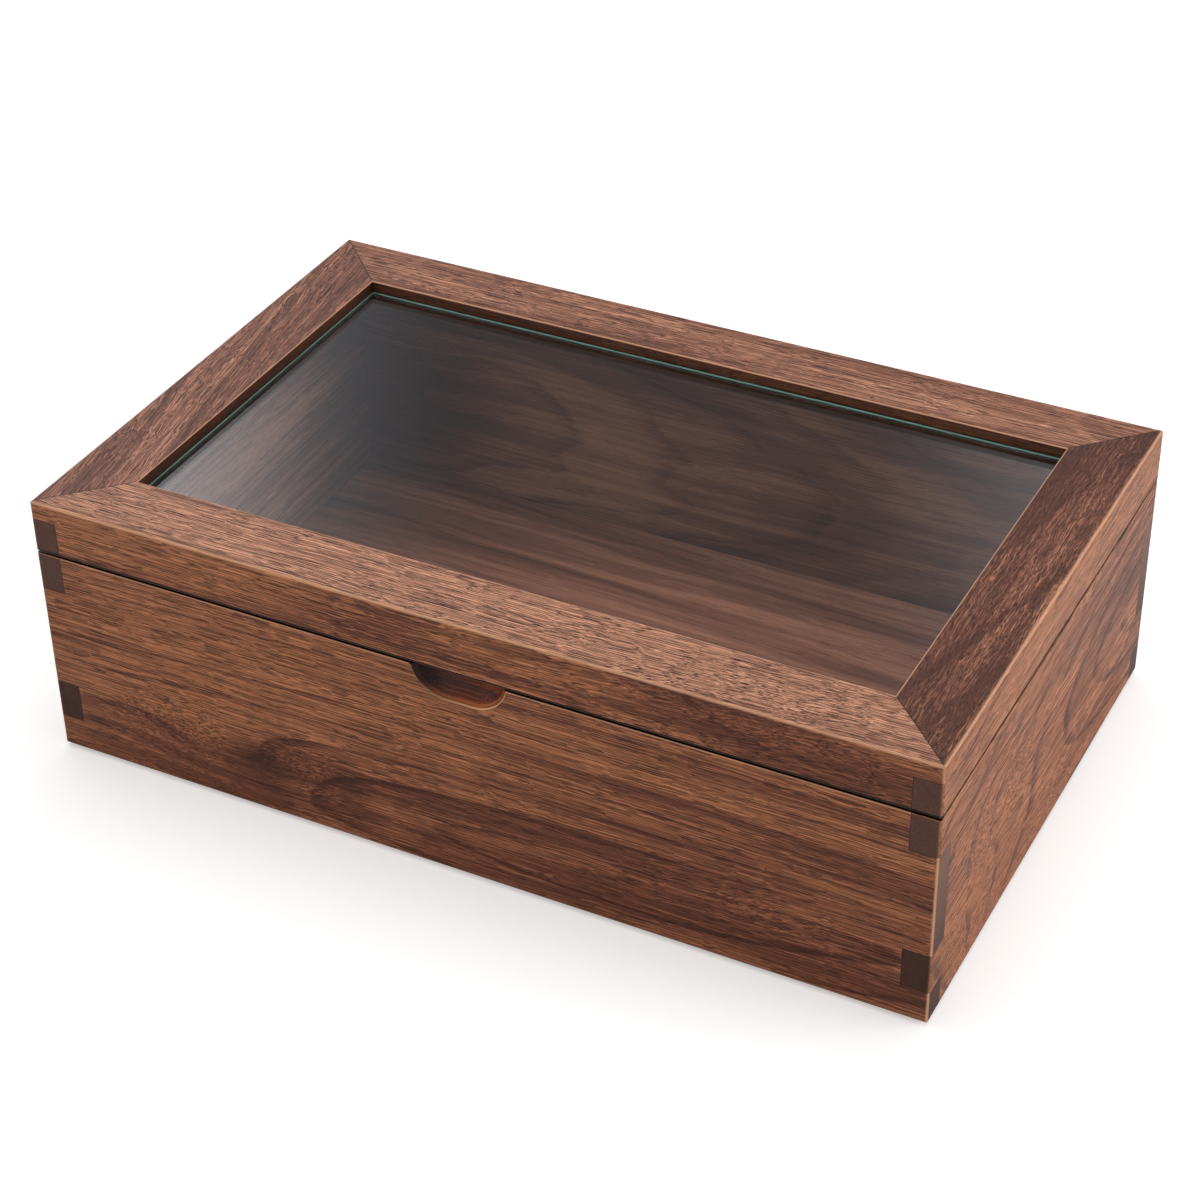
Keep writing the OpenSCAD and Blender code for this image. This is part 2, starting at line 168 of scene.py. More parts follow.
def near(n, where, centre, size):
    """1 at a centre, fading to 0 at about twice the size from it."""
    offset = n("VectorMath", {0: where, 1: centre}, operation="SUBTRACT")
    scaled = n("VectorMath", {0: offset, 1: [1 / s for s in size]}, operation="MULTIPLY")
    far = n("VectorMath", {0: scaled, 1: scaled}, out="Value", operation="DOT_PRODUCT")
    return n("Math", {0: math.e, 1: n("Math", {0: far, 1: -1.0}, operation="MULTIPLY")}, operation="POWER")


def bumps(n, grain, value, spots):
    """A value with smooth bumps added to it, each with its centre, size and height."""
    for centre, size, height in spots:
        value = n("Math", {0: near(n, grain, centre, size), 1: height, 2: value}, operation="MULTIPLY_ADD")
    return value


def flow(n, grain, seed, sway, wave, lifts):
    """How far the figure is moved across the grain, and the places of the fibres, which partly follow it."""
    seeded = n("VectorMath", {0: grain, 1: [a * seed for a in APART]}, operation="ADD")
    wander = n("MapRange", {0: along(n, seeded, 130, 30), TO_LOW: -2 * sway, TO_HIGH: 2 * sway})
    lift = bumps(n, grain, wander, lifts)
    followed = n("Math", {0: lift, 1: 0.6}, operation="MULTIPLY")
    across = n("CombineXYZ", {"Y": followed, "Z": followed})
    ripple = along(n, seeded, 13, 7, out="Color")
    ripple = n("VectorMath", {0: ripple, 1: (0.5, 0.5, 0.5)}, operation="SUBTRACT")
    ripple = n("VectorMath", {0: ripple, 1: (0, wave, wave)}, operation="MULTIPLY")
    fibres = n("VectorMath", {0: seeded, 1: across}, operation="ADD")
    return lift, n("VectorMath", {0: fibres, 1: ripple}, operation="ADD")


def growth(n, grain, lift, fibres, seed, pith, lean, ring, uneven):
    """Growth rings round the pith of the log: thin late-wood lines, and broad bands of several years."""
    log = n("Mapping", {"Vector": grain, "Location": pith, "Rotation": lean})
    across = n("VectorMath", {0: log, 1: (0, 1, 1)}, operation="MULTIPLY")
    radius = n("VectorMath", {0: across}, out="Value", operation="LENGTH")
    radius = n("Math", {0: radius, 1: lift}, operation="ADD")
    years = n("Math", {0: radius, 1: 1 / ring, 2: seed}, operation="MULTIPLY_ADD")
    spread = n("TexNoise", {"W": years, "Scale": 0.6, "Detail": 1.0}, noise_dimensions="1D")
    years = n("Math", {0: spread, 1: uneven, 2: years}, operation="MULTIPLY_ADD")
    bands = n("TexNoise", {"W": years, "Scale": 0.6, "Detail": 1.0}, noise_dimensions="1D")

    # The late wood darkens towards the end of each year and stops with it
    season = n("Math", {0: years}, operation="FRACT")
    late = n("MapRange", {0: season, FROM_LOW: 0.7, FROM_HIGH: 0.94}, **EASED)
    ended = n("MapRange", {0: season, FROM_LOW: 0.94, FROM_HIGH: 1.0, TO_LOW: 1.0, TO_HIGH: 0.0}, **EASED)
    late = n("Math", {0: late, 1: ended}, operation="MULTIPLY")

    # Some years have stronger lines than others, and every line is patchy along its length
    year = n("Math", {0: years}, operation="FLOOR")
    strength = n("TexWhiteNoise", {"W": year}, noise_dimensions="1D", out="Value")
    strength = n("MapRange", {0: strength, TO_LOW: 0.45, TO_HIGH: 1.0})
    patchy = along(n, fibres, 90, 12)
    patchy = n("MapRange", {0: patchy, FROM_LOW: 0.35, FROM_HIGH: 0.55, TO_LOW: 0.4, TO_HIGH: 1.0})
    strength = n("Math", {0: strength, 1: patchy}, operation="MULTIPLY")
    late = n("Math", {0: late, 1: strength}, operation="MULTIPLY")
    return late, n("MapRange", {0: bands, FROM_LOW: 0.36, FROM_HIGH: 0.64})


def wood(
    n, grain, fine, seed=0, pith=(0, 60, -40), lean=(0, 0, 0), ring=9.0, uneven=1.5, sway=4.0, wave=1.0,
    lifts=(), shades=(), tone=0.0, rings=1.2, bands=0.7, streaks=0.7, lines=0.7, pores=0.85, dash=24.0,
    palette=(LIGHT, MID, DARK),
):
    """The wood's colour, and how deep its open pores and hair lines lie."""
    lift, fibres = flow(n, grain, seed, sway, wave, lifts)
    line = n("MapRange", {0: along(n, fibres, 90, 0.25), FROM_LOW: 0.42, FROM_HIGH: 0.6})
    moved = n("VectorMath", {0: fibres, 1: APART}, operation="ADD")
    pore = n("MapRange", {0: along(n, moved, dash, 0.17, 1.0), FROM_LOW: 0.48, FROM_HIGH: 0.6}, **EASED)

    # The tone runs from 0, light, through 1, mid, to 2, dark
    coarse = along(n, moved, 110, 0.5)
    coarse = n("MapRange", {0: coarse, FROM_LOW: 0.38, FROM_HIGH: 0.62, TO_LOW: -0.55, TO_HIGH: 0.5})
    coarse = n("Math", {0: coarse, 1: fine}, operation="MULTIPLY")
    value = along(n, fibres, 150, 5, 3.0)
    pale, deep = tone - 0.3, tone + 0.4
    value = n("MapRange", {0: value, FROM_LOW: 0.38, FROM_HIGH: 0.62, TO_LOW: pale, TO_HIGH: deep})
    late, band = growth(n, grain, lift, fibres, seed, pith, lean, ring, uneven)
    broken = n("MapRange", {0: line, TO_LOW: 0.5, TO_HIGH: 1.3})
    late = n("Math", {0: late, 1: broken}, operation="MULTIPLY")
    for amount, share in ((band, bands), (late, rings), (coarse, streaks)):
        value = n("Math", {0: amount, 1: share, 2: value}, operation="MULTIPLY_ADD")
    value = bumps(n, grain, value, shades)

    light, mid, dark = palette
    colour = n("Mix", {FACTOR: n("MapRange", {0: value}), A: light, B: mid}, **COLOURS)
    darker = n("MapRange", {0: value, FROM_LOW: 1.0, FROM_HIGH: 2.0})
    colour = n("Mix", {FACTOR: darker, A: colour, B: dark}, **COLOURS)
    for marks, amount, stain in ((line, lines, dark), (pore, pores, PORE_AND_SHADE)):
        cover = n("Math", {0: marks, 1: amount}, operation="MULTIPLY")
        cover = n("Math", {0: cover, 1: fine}, operation="MULTIPLY")
        colour = n("Mix", {FACTOR: cover, A: colour, B: stain}, **COLOURS)
    return colour, n("Math", {0: line, 1: 0.4, 2: pore}, operation="MULTIPLY_ADD")


def distances_in(n, spot):
    """How far a spot lies in from the ends of the box, in from its front or back, and in from the nearest."""
    x = n("Math", {0: n("SeparateXYZ", {0: spot}, out="X")}, operation="ABSOLUTE")
    y = n("Math", {0: n("SeparateXYZ", {0: spot}, out="Y"), 1: MIDDLE_Y}, operation="SUBTRACT")
    x_in = n("Math", {0: HALF_W, 1: x}, operation="SUBTRACT")
    y_in = n("Math", {0: HALF_D, 1: n("Math", {0: y}, operation="ABSOLUTE")}, operation="SUBTRACT")
    return x_in, y_in, n("Math", {0: x_in, 1: y_in}, operation="MINIMUM")


def end_grain(n, grain, height, ended, end, colour):
    """End grain is darker and greyer, most of all near the foot, and speckled with open pores."""
    speckle = n("MapRange", {0: along(n, grain, 0.7, 0.7), FROM_LOW: 0.35, FROM_HIGH: 0.65, TO_HIGH: 0.4})
    darkened = n("MapRange", {0: height, FROM_LOW: FOOT_DARK_HIGH, FROM_HIGH: FOOT_DARK_LOW, TO_HIGH: 0.95})
    darker = n("Math", {0: speckle, 1: darkened}, operation="MAXIMUM")
    end_colour = n("Mix", {FACTOR: darker, A: end, B: PORE_AND_SHADE}, **COLOURS)
    return n("Mix", {FACTOR: ended, A: colour, B: end_colour}, **COLOURS)


def joint_lines(n, height, across):
    """Where the glue lines of the corner joints show on a board's end grain."""
    lines = n("Math", {0: across, 1: BOARD_T, 2: JOINT_GLUE}, operation="COMPARE")
    for level in (*FINGER_HEIGHTS, LID_HIGH.z):
        here = n("Math", {0: height, 1: level, 2: JOINT_GLUE}, operation="COMPARE")
        lines = n("Math", {0: lines, 1: here}, operation="MAXIMUM")
    return lines


def inner_face_shade(n, facing, across, inner_shade, colour):
    """Paints shade on the rails' upright inner faces round the glass."""
    within = n("MapRange", {0: across, FROM_LOW: INNER_SHADE_START, FROM_HIGH: INNER_SHADE_END})
    up = n("SeparateXYZ", {0: facing}, out="Z")
    upright = n("MapRange", {0: up, FROM_LOW: 0.7, FROM_HIGH: 0.4, TO_HIGH: inner_shade})
    shaded = n("Math", {0: within, 1: upright}, operation="MULTIPLY")
    return n("Mix", {FACTOR: shaded, A: colour, B: PORE_AND_SHADE}, **COLOURS)


def gap_painted_shade(n, height, nearest, colour):
    """Painted shade darkens the mouth of the thin gap under the lid, and the lid's lower edge."""
    in_gap = n("Math", {0: height, 1: GAP_Z + GAP_EDGE, 2: GAP_HALF + GAP_EDGE}, operation="COMPARE")
    mouth = n("MapRange", {
        0: nearest, FROM_LOW: MOUTH_START, FROM_HIGH: MOUTH_END, TO_LOW: 1.0, TO_HIGH: 0.0,
    }, **EASED)
    gap_shade = n("Math", {0: in_gap, 1: mouth}, operation="MULTIPLY")
    return n("Mix", {FACTOR: gap_shade, A: colour, B: GLUE_AND_GAP_SHADE}, **COLOURS)


def worn_and_highlit_arrises(n, facing, across, nearest, mitre, wear_and_highlight, glint, colour):
    """The sanded arrises are worn lighter and carry a painted highlight: there the surface faces between two
    directions.
    """
    straight = n("VectorMath", {0: facing}, operation="ABSOLUTE")
    x, y, z = [n("SeparateXYZ", {0: straight}, out=axis) for axis in "XYZ"]
    flat = n("Math", {0: x, 1: n("Math", {0: y, 1: z}, operation="MAXIMUM")}, operation="MAXIMUM")
    arris = n("MapRange", {0: flat, FROM_LOW: 0.98, FROM_HIGH: 0.8, TO_HIGH: wear_and_highlight})
    if mitre:
        # A painted highlight lies on the last half millimetre of the rails' tops, along their inner edges
        edge = n("Math", {0: across, 1: RAIL_W, 2: GLINT_W}, operation="COMPARE")
        level = n("MapRange", {0: z, FROM_LOW: 0.9, FROM_HIGH: 0.95, TO_HIGH: glint})
        glint_line = n("Math", {0: edge, 1: level}, operation="MULTIPLY")
        arris = n("Math", {0: arris, 1: glint_line}, operation="MAXIMUM")
    else:
        outer = n("Math", {0: nearest, 1: ARRIS_W}, operation="LESS_THAN")
        arris = n("Math", {0: arris, 1: outer}, operation="MULTIPLY")
    return n("Mix", {FACTOR: arris, A: colour, B: WORN_AND_HIGHLIGHT}, **COLOURS)


def notch_painted_shade(n, spot, y_in, colour):
    """Paints shade into the scooped notch, darkest at its upper left, and paints its rim dark there and light
    at its lower right, as a highlight.
    """
    x = n("SeparateXYZ", {0: spot}, out="X")
    z = n("SeparateXYZ", {0: spot}, out="Z")
    beside = n("Math", {0: x, 1: 0.0, 2: NOTCH_HALF}, operation="COMPARE")
    above = n("Math", {0: z, 1: NOTCH_LOW}, operation="GREATER_THAN")
    behind = n("Math", {0: y_in, 1: SLACK}, operation="GREATER_THAN")
    inside = n("Math", {0: beside, 1: above}, operation="MULTIPLY")
    inside = n("Math", {0: inside, 1: behind}, operation="MULTIPLY")
    side = n("MapRange", {0: x, FROM_LOW: NOTCH_DARK_X, FROM_HIGH: NOTCH_PALE_X, TO_HIGH: 0.75})
    low = n("MapRange", {0: z, FROM_LOW: NOTCH_DARK_Z, FROM_HIGH: NOTCH_PALE_Z, TO_HIGH: 0.3})
    lit = n("Math", {0: side, 1: low}, operation="ADD")
    painted_rim = n("Mix", {FACTOR: lit, A: rgb("#2e1a10"), B: rgb("#e0a878")}, **COLOURS)
    shade = n("Mix", {FACTOR: lit, A: rgb("#4a3122"), B: rgb("#dcab80")}, **COLOURS)
    darkened = n("Mix", {FACTOR: 1.0, A: colour, B: shade}, **COLOURS, blend_type="MULTIPLY")
    deep = n("MapRange", {0: y_in, FROM_LOW: RIM_START, FROM_HIGH: RIM_END})
    darkened = n("Mix", {FACTOR: deep, A: painted_rim, B: darkened}, **COLOURS)
    return n("Mix", {FACTOR: inside, A: colour, B: darkened}, **COLOURS)


def walnut(
    name, turn=(0, 0, 0), along_y=False, mitre=False, wear_and_highlight=0.3, end=END, notch=False, inner_shade=0.55, glint=0.7,
    top=None, inside=None, **look,
):
    """A board's finish. The look is given to wood, and top and inside hold what differs on the faces that
    look up and on the inner side."""
    material, n = new_material(name)
    spot = n("TexCoord", out="Object")
    facing = n("TexCoord", out="Normal")
    height = n("SeparateXYZ", {0: spot}, out="Z")
    x_in, y_in, nearest = distances_in(n, spot)
    across = x_in if along_y else y_in
    # Millimetres, with X along the grain
    grain = n("Mapping", {"Vector": spot, "Rotation": turn, "Scale": [1000] * 3})

    # The inner sides are planed finer, so fewer open pores show
    fine = 1.0
    if not mitre:
        inner = n("Math", {0: nearest, 1: INSIDE}, operation="GREATER_THAN")
        fine = n("MapRange", {0: inner, TO_LOW: 1.0, TO_HIGH: 0.5})
    colour, depth = wood(n, grain, fine, **look)
    if inside:
        inner_side_colour, depth = wood(n, grain, fine, **{**look, **inside})
        colour = n("Mix", {FACTOR: inner, A: colour, B: inner_side_colour}, **COLOURS)
    # The faces that look up take their own copy of the wood, partly as painted light from above
    if top:
        up_facing_colour, depth = wood(n, grain, fine, **{**look, **top})
        up = n("SeparateXYZ", {0: facing}, out="Z")
        level = n("MapRange", {0: up, FROM_LOW: 0.6, FROM_HIGH: 0.8})
        colour = n("Mix", {FACTOR: level, A: colour, B: up_facing_colour}, **COLOURS)

    endways = n("SeparateXYZ", {0: facing}, out="Y" if along_y else "X")
    endways = n("Math", {0: endways}, operation="ABSOLUTE")
    ended = n("MapRange", {0: endways, FROM_LOW: 0.6, FROM_HIGH: 0.95, TO_HIGH: 0.93})
    colour = end_grain(n, grain, height, ended, end, colour)
    if mitre:
        glue = n("Math", {0: x_in, 1: y_in, 2: MITRE_GLUE}, operation="COMPARE")
    else:
        glue = n("Math", {0: joint_lines(n, height, across), 1: ended}, operation="MULTIPLY")
    glue = n("Math", {0: glue, 1: 0.7}, operation="MULTIPLY")
    colour = n("Mix", {FACTOR: glue, A: colour, B: GLUE_AND_GAP_SHADE}, **COLOURS)
    if mitre:
        colour = inner_face_shade(n, facing, across, inner_shade, colour)
    colour = gap_painted_shade(n, height, nearest, colour)
    colour = worn_and_highlit_arrises(n, facing, across, nearest, mitre, wear_and_highlight, glint, colour)
    # Painted shade in the notch, with a painted highlight on its rim
    if notch:
        colour = notch_painted_shade(n, spot, y_in, colour)

    # Open pores are a tenth of a millimetre deep and keep less sheen
    normal = n("Bump", {"Height": depth, "Strength": 0.3, "Distance": 0.0001}, invert=True)
    rough = n("MapRange", {0: depth, FROM_LOW: 0.0, FROM_HIGH: 1.4, TO_LOW: 0.4, TO_HIGH: 0.52})
    shader = n("BsdfPrincipled", {
        "Base Color": colour, "Roughness": rough, "Normal": normal, "Specular IOR Level": 0.18,
    })
    n("OutputMaterial", {"Surface": shader})
    return material


# The grain runs along X on the long boards and along Y on the side boards. Lifts move the growth rings, and
# shades darken the wood or, below 0, lighten it, as the wood's own tone and on some boards as painted light
# and shade: each has its centre and size along, through and across the board, and its amount.
ALONG_Y = {"turn": (0, 0, math.radians(-90)), "along_y": True}
FRAME = {"mitre": True, "wear_and_highlight": 0.6}
TOP = {"palette": (TOP_LIGHT, TOP_MID, TOP_DARK), "shades": (), "pores": 1.0, "lines": 0.8}
# Logs that two or more boards share, so that the figure runs on from one to the next
RIGHT_LOG = {
    **ALONG_Y, "seed": 33.276, "pith": (0, 111.2, -34), "lean": (0, 0, 0.29), "ring": 8, "uneven": 0.0,
    "sway": 1.2, "rings": 2.2, "bands": 0.3, "streaks": 0.7,
    "lifts": [((-26, -150, -8), (40, 60, 20), -24), ((-46, -150, 46), (18, 60, 13), -5)],
    "shades": [
        ((22, -150, 36), (12, 60, 6), 0.9), ((60, -150, 62), (40, 60, 20), 0.6),
        ((50, -150, 12), (60, 60, 4), 0.8), ((-70, -150, 25), (35, 60, 30), -0.3),
        ((-40, -150, 88), (45, 60, 2), 0.6), ((0, -150, 90), (150, 60, 14), -1.1),
    ],
}
FRONT_LOG = {
    "seed": 8, "pith": (0, 140, -90), "sway": 3, "lifts": [((150, -90, 95), (70, 60, 60), -9)],
    # Painted light at the left end of the lid's front and painted shade at its right end
    "shades": [((-130, -98, 88), (45, 30, 12), -0.6), ((115, -98, 86), (60, 20, 12), 0.5)],
}
BACK_LOG = {"seed": 19, "pith": (0, -90, -90)}


def front_board():
    dress(walnut(
        "walnut_front_board", seed=34, pith=(0, 103, -16), lean=(0, 0, -0.13), ring=8, uneven=0.0, sway=1.0,
        rings=1.9, bands=0.6, end=SIDE_END, wear_and_highlight=0.7, notch=True,
        lifts=[
            ((-150, -98, -8), (60, 60, 20), -14), ((-82, -98, 20), (30, 60, 12), 8),
            ((-85, -98, -4), (28, 60, 10), -5), ((135, -98, 26), (50, 60, 10), -7),
        ],
        # The board's own darker and paler zones, which also paint the light falling off from the left end to
        # the right
        shades=[
            ((-60, -98, 16), (28, 60, 16), 0.9), ((70, -98, 16), (90, 60, 11), 0.8),
            ((110, -98, 45), (80, 60, 14), 0.4), ((-85, -98, 60), (60, 60, 14), -0.8),
            ((20, -98, 62), (70, 60, 10), -0.4), ((-110, -98, 8), (50, 60, 12), 0.4),
            ((-28, -98, 14), (8, 60, 12), -0.6), ((-53, -98, 12), (11, 60, 9), -0.9),
            ((-70, -98, 22), (12, 60, 9), 0.5),
        ],
    ), "front_panel")


def back_board():
    dress(walnut(
        "walnut_back_board", seed=5, pith=(0, -40, -40), lean=(0, 0, 0.2), ring=9, uneven=0.8, end=SIDE_END,
        rings=1.1, bands=0.9, sway=5.0, wave=0.5, streaks=0.8, lines=0.5, pores=0.5, tone=0.2,
        inside={"rings": 0.7, "tone": 0.35, "palette": (rgb("#b98763"), rgb("#80533c"), DARK)},
        # Painted shade darkens the left end, by the inner back corner
        shades=[((-141, 83, 50), (50, 60, 70), 1.5)],
    ), "back_panel")


def floor_panel():
    dress(walnut(
        "walnut_floor", seed=7, pith=(0, 70, 25), lean=(0, 0, 0.06), ring=8, rings=0.6, bands=0.45,
        lines=0.5, pores=0.5, tone=0.5, palette=(rgb("#c4896a"), rgb("#8a583f"), DARK),
        shades=[((-130, 60, 9), (70, 60, 60), 0.6)],
    ), "base_panel")


def left_boards():
    # The inner side is paler with painted light from the low lamp on the right, and darker towards the back
    # corner with painted shade
    inside = {
        "pith": (0, -130, 200), "lean": (0, 0.03, 0), "palette": (rgb("#e8b594"), TOP_MID, DARK),
        "tone": -0.6, "bands": 1.6, "streaks": 1.7,
        "shades": [((83, 141, 50), (45, 60, 70), 1.5), ((90, 141, 80), (20, 60, 40), 1.5)],
    }
    dress(walnut(
        "walnut_left_board", **ALONG_Y, seed=9, pith=(0, -134, -40), lean=(0, 0, -0.1), ring=9, uneven=0.8,
        rings=1.7, bands=0.5, sway=3.0, inside=inside,
    ), "left_panel", "lid_left_apron")


def shared_boards():
    """The right boards and the lid's front and back aprons, whose figure runs on into their rails."""
    dress(walnut("walnut_right_board", **RIGHT_LOG, wear_and_highlight=0.1), "right_panel", "lid_right_apron")
    dress(walnut("walnut_lid_front", **FRONT_LOG, end=SIDE_END), "lid_front_apron")
    dress(walnut("walnut_lid_back", **BACK_LOG, end=SIDE_END), "lid_back_apron")


def rails():
    """The lid's mitred rails. The left one's grain runs a little askew, its inner edge has hardly any painted
    highlight, and its inner face has the most painted shade.
    """
    top = {**TOP, "tone": -0.5}
    dress(walnut("walnut_front_rail", **FRONT_LOG, **FRAME, top=top), "frame_front_rail")
    top = {**TOP, "tone": 0.45}
    dress(walnut("walnut_back_rail", **BACK_LOG, **FRAME, inner_shade=0.7, top=top), "frame_back_rail")
    askew = {**ALONG_Y, "turn": (0, 0, math.radians(-98))}
    dress(walnut(
        "walnut_left_rail", **askew, **FRAME, inner_shade=0.9, glint=0.1, seed=11, pith=(0, 90, -90), wave=2.0,
        bands=0.4, top={**TOP, "tone": 0.8},
    ), "frame_left_rail")
    curly = {
        **TOP, "tone": 1.1, "streaks": 1.0, "wave": 2.5, "dash": 4.0,
        "shades": [((-70, -150, 95), (50, 90, 60), 0.5)],
    }
    dress(walnut("walnut_right_rail", **RIGHT_LOG, **FRAME, top=curly), "frame_right_rail")


def strips():
    """The strips under the glass, dark with painted shade but for the right one, which shows least."""
    shade_dark = {"palette": (rgb("#3a261c"), rgb("#241712"), DARK), "mitre": True}
    dress(walnut("walnut_long_strips", seed=13, **shade_dark), "glazing_strip_front", "glazing_strip_back")
    dress(walnut("walnut_left_strip", **ALONG_Y, **shade_dark), "glazing_strip_left")
    dress(walnut("walnut_right_strip", **ALONG_Y, mitre=True, tone=0.5), "glazing_strip_right")


def glass():
    """Clear float glass, polished flat by its making, with ground edges of a green tint, on which a bright
    middle band is a painted highlight.
    """
    material, n = new_material("float_glass")
    low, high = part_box("glass_pane")
    up = n("Math", {0: n("SeparateXYZ", {0: n("TexCoord", out="Normal")}, out="Z")}, operation="ABSOLUTE")
    face = n("MapRange", {0: up, FROM_LOW: 0.3, FROM_HIGH: 0.7})
    # On the ground edge, a bright green middle band is a painted highlight, and its upper and lower arrises
    # are painted shade
    height = n("SeparateXYZ", {0: n("TexCoord", out="Object")}, out="Z")
    middle = n("Math", {0: height, 1: (low.z + high.z) / 2, 2: (high.z - low.z) / 3}, operation="COMPARE")
    edge = n("Mix", {FACTOR: middle, A: rgb("#10241f"), B: rgb("#86bfad")}, **COLOURS)
    colour = n("Mix", {FACTOR: face, A: edge, B: rgb("#ffffff")}, **COLOURS)
    rough = n("MapRange", {0: face, TO_LOW: 0.5, TO_HIGH: 0.0})
    clear = n("MapRange", {0: face, TO_LOW: 0.0, TO_HIGH: 1.0})
    shader = n("BsdfPrincipled", {
        "Base Color": colour, "Roughness": rough, "Transmission Weight": clear, "IOR": 1.52,
    })
    n("OutputMaterial", {"Surface": shader})
    dress(material, "glass_pane")


def brass():
    """Drawn cartridge brass, satin brushed along its length and a little tarnished."""
    material, n = new_material("satin_brass")
    spot = n("TexCoord", out="Object")
    # Brush lines are 5 mm long and 0.11 mm apart, and stains 5 to 6 mm across
    brushed = n("Mapping", {"Vector": spot, "Scale": (200, 9000, 9000)})
    lines = n("TexNoise", {"Vector": brushed, "Scale": 1.0, "Detail": 2.0})
    stains = n("TexNoise", {"Vector": spot, "Scale": 180.0, "Detail": 3.0})
    dull = n("MapRange", {0: stains, FROM_LOW: 0.4, FROM_HIGH: 0.7})
    colour = n("Mix", {FACTOR: dull, A: rgb("#c9a76c"), B: rgb("#937143")}, **COLOURS)
    rough = n("MapRange", {0: lines, TO_LOW: 0.22, TO_HIGH: 0.45})
    normal = n("Bump", {"Height": lines, "Strength": 0.15, "Distance": 0.00005})
    shader = n("BsdfPrincipled", {
        "Base Color": colour, "Metallic": 1.0, "Roughness": rough, "Normal": normal,
    })
    n("OutputMaterial", {"Surface": shader})
    dress(material, *[name for name in NODES if name.startswith("hinge_")], "strip_brads")


def soft_finish(name, colours, grit, depth, sheen=0.0):
    """A matt finish of two mottled colours, with a surface of that grit and depth in millimetres."""
    material, n = new_material(name)
    spot = n("Mapping", {"Vector": n("TexCoord", out="Object"), "Scale": [1000 / grit] * 3})
    coarse = n("TexNoise", {"Vector": spot, "Scale": 0.3, "Detail": 3.0})
    fine = n("TexNoise", {"Vector": spot, "Scale": 1.0, "Detail": 2.0})
    mottle = n("MapRange", {0: coarse, FROM_LOW: 0.35, FROM_HIGH: 0.65})
    colour = n("Mix", {FACTOR: mottle, A: rgb(colours[0]), B: rgb(colours[1])}, **COLOURS)
    normal = n("Bump", {"Height": fine, "Strength": 0.6, "Distance": depth / 1000})
    shader = n("BsdfPrincipled", {
        "Base Color": colour, "Roughness": 0.85, "Normal": normal, "Sheen Weight": sheen,
        "Specular IOR Level": 0.3,
    })
    n("OutputMaterial", {"Surface": shader})
    return material


def finish_piece(name, material, body, node):
    """Puts the active piece's place in its mesh, and gives it its finish, its body and its node."""
    bpy.ops.object.mode_set(mode="OBJECT")
    bpy.ops.object.transform_apply(location=True, rotation=True, scale=True)
    piece = bpy.context.object
    piece.name = name
    piece.data.materials.append(material)
    bpy.ops.object.shade_smooth_by_angle(angle=math.radians(40))
    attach(piece, body)
    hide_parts(node)
    piece.select_set(False)
    return piece


def select_rim(height):
    """Selects the edges of the active piece that lie at a height, and opens it for editing."""
    mesh = bpy.context.object.data
    bpy.ops.object.mode_set(mode="EDIT")
    bpy.ops.mesh.select_mode(type="EDGE")
    bpy.ops.mesh.select_all(action="DESELECT")
    bpy.ops.object.mode_set(mode="OBJECT")
    for edge in mesh.edges:
        edge.select = all(abs(mesh.vertices[v].co.z - height) < 1e-6 for v in edge.vertices)
    bpy.ops.object.mode_set(mode="EDIT")


def round_slab(node, rims, bevel):
    """A disc that fills a node's box, with its caps ringed and its rims rounded: -0.5 is the lower one and
    0.5 the upper one."""
    low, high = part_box(node)
    size = high - low
    bpy.ops.mesh.primitive_cylinder_add(
        vertices=48, radius=size.x / 2, depth=size.z, location=(low + high) / 2
    )
    for side in (-0.5, 0.5):
        select_rim(side * size.z)
        for ring in range(4):
            bpy.ops.mesh.inset(thickness=size.x / 10)
        bpy.ops.object.mode_set(mode="OBJECT")
    for side in rims:
        select_rim(side * size.z)
        bpy.ops.mesh.region_to_loop()
        bpy.ops.mesh.bevel(offset=bevel, segments=3, affect="EDGES")
        bpy.ops.object.mode_set(mode="OBJECT")


def felt_pads():
    """Pressed wool felt, punched into discs: matt dark brown with a hairy nap and a crushed lower rim."""
    felt = soft_finish("pressed_felt", ("#4a3d33", "#2e2620"), grit=0.25, depth=0.06, sheen=0.4)
    nap_width, nap_depth = 0.0005, 0.00008
    nap = bpy.data.textures.new("felt_nap", "CLOUDS")
    nap.noise_scale = nap_width
    for node in [name for name in NODES if name.startswith("foot_pad_")]:
        round_slab(node, rims=(-0.5,), bevel=0.0003)
        pad = bpy.context.object
        rough = pad.modifiers.new("nap", "DISPLACE")
        rough.texture = nap
        rough.strength = nap_depth
        rough.mid_level = 1.0
        bpy.ops.object.modifier_apply(modifier=rough.name)
        finish_piece("felt_" + node, felt, "body", node)


def rubber_bumpers():
    """Soft black rubber discs, moulded with a rounded upper rim that the lid closes on."""
    rubber = soft_finish("moulded_rubber", ("#26221f", "#1a1715"), grit=0.1, depth=0.01)
    for node in ("lid_bumper_left", "lid_bumper_right"):
        round_slab(node, rims=(0.5,), bevel=0.00025)
        finish_piece("rubber_" + node, rubber, "body", node)


